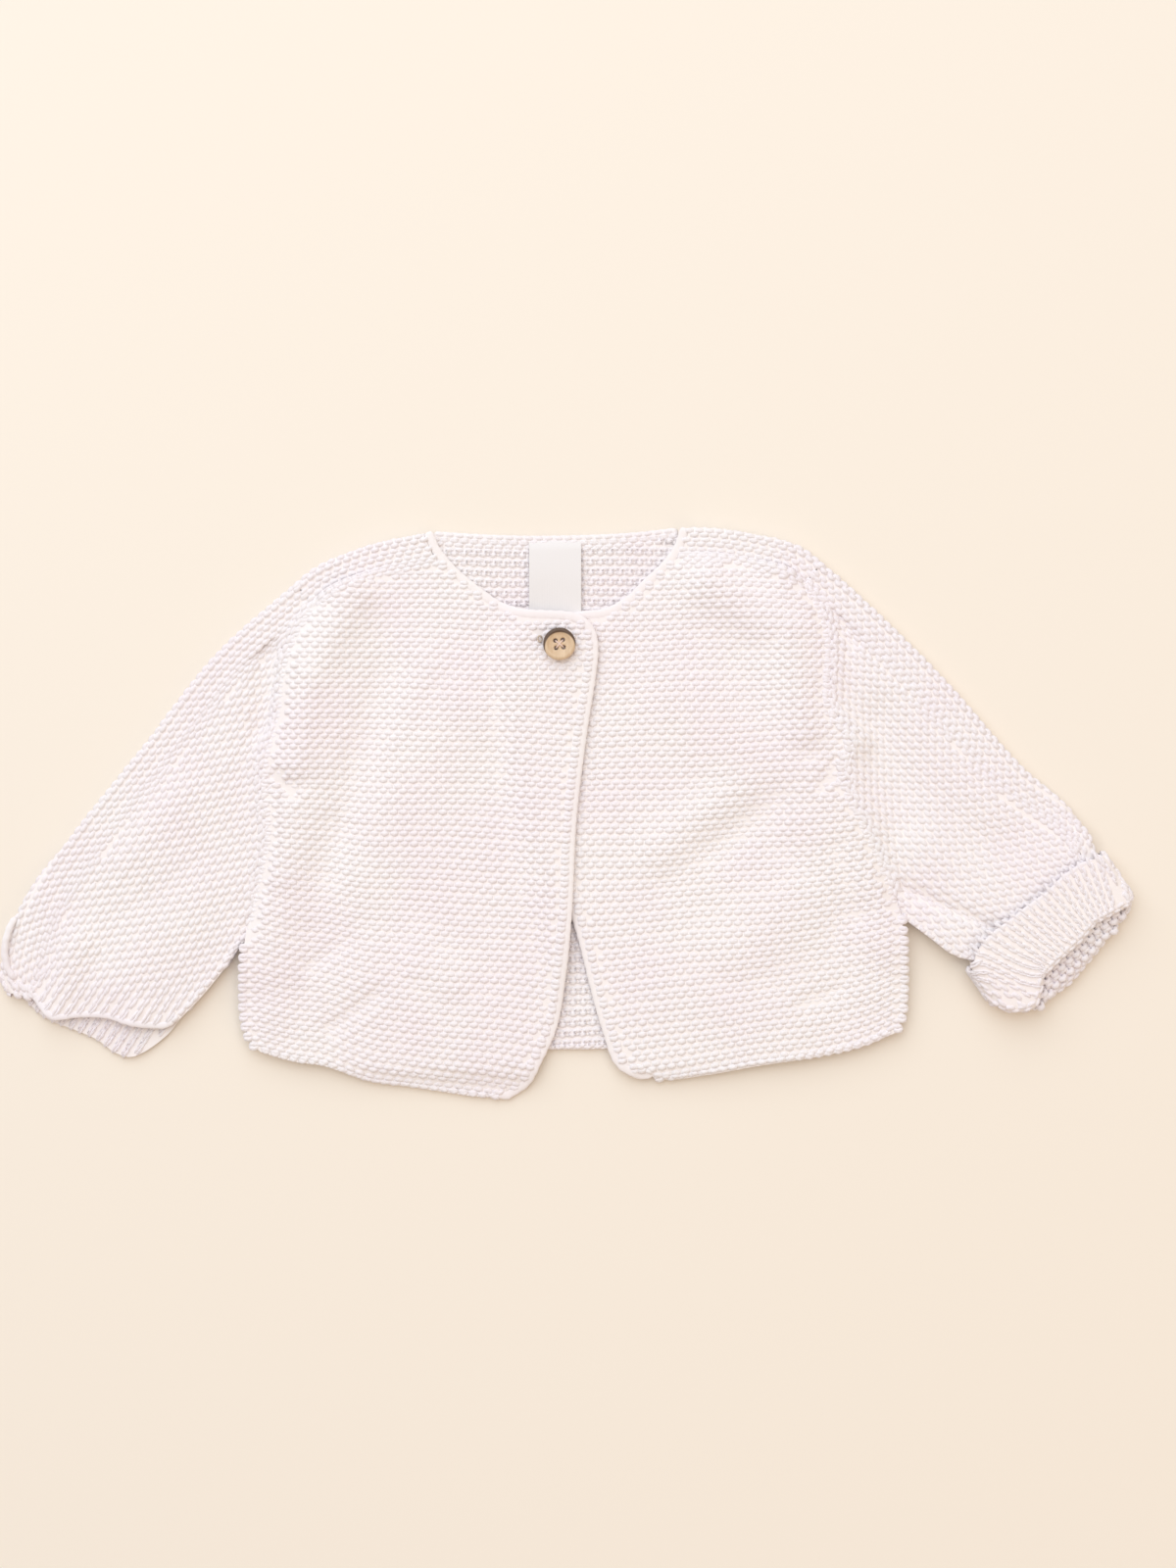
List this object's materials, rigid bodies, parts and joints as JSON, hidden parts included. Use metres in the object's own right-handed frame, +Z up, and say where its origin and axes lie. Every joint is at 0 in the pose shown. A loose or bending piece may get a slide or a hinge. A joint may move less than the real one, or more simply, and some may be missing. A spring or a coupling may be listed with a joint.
{
  "type": "baby cardigan",
  "caption": "Baby cardigan in garter stitch laid flat with its front up, one cuff turned up, closed at the neck by a wooden button.",
  "frame": {"origin": "middle of the outline in plan, on the surface that the cardigan lies on", "axes": "+X towards the wearer's left along the spread sleeves, +Y from the hem to the neck, +Z up from the surface"},
  "size_m": [0.4208, 0.2129, 0.0107],
  "materials": {
    "knit": "matt cotton yarn in garter stitch, pale pink ivory",
    "edging": "matt cotton yarn, smooth narrow edging",
    "wood": "smooth, lightly waxed",
    "label": "woven cotton tape"
  },
  "bodies": {
    "root": {"back": "knit", "front_right": "knit", "front_left": "knit", "sleeve_right_back": "knit", "sleeve_right_front": "knit", "sleeve_left_back": "knit", "sleeve_left_front": "knit", "cuff_left": "knit", "edging_right": "edging", "edging_left": "edging", "edging_back": "edging", "button": "wood", "label": "label"}
  },
  "joints": []
}
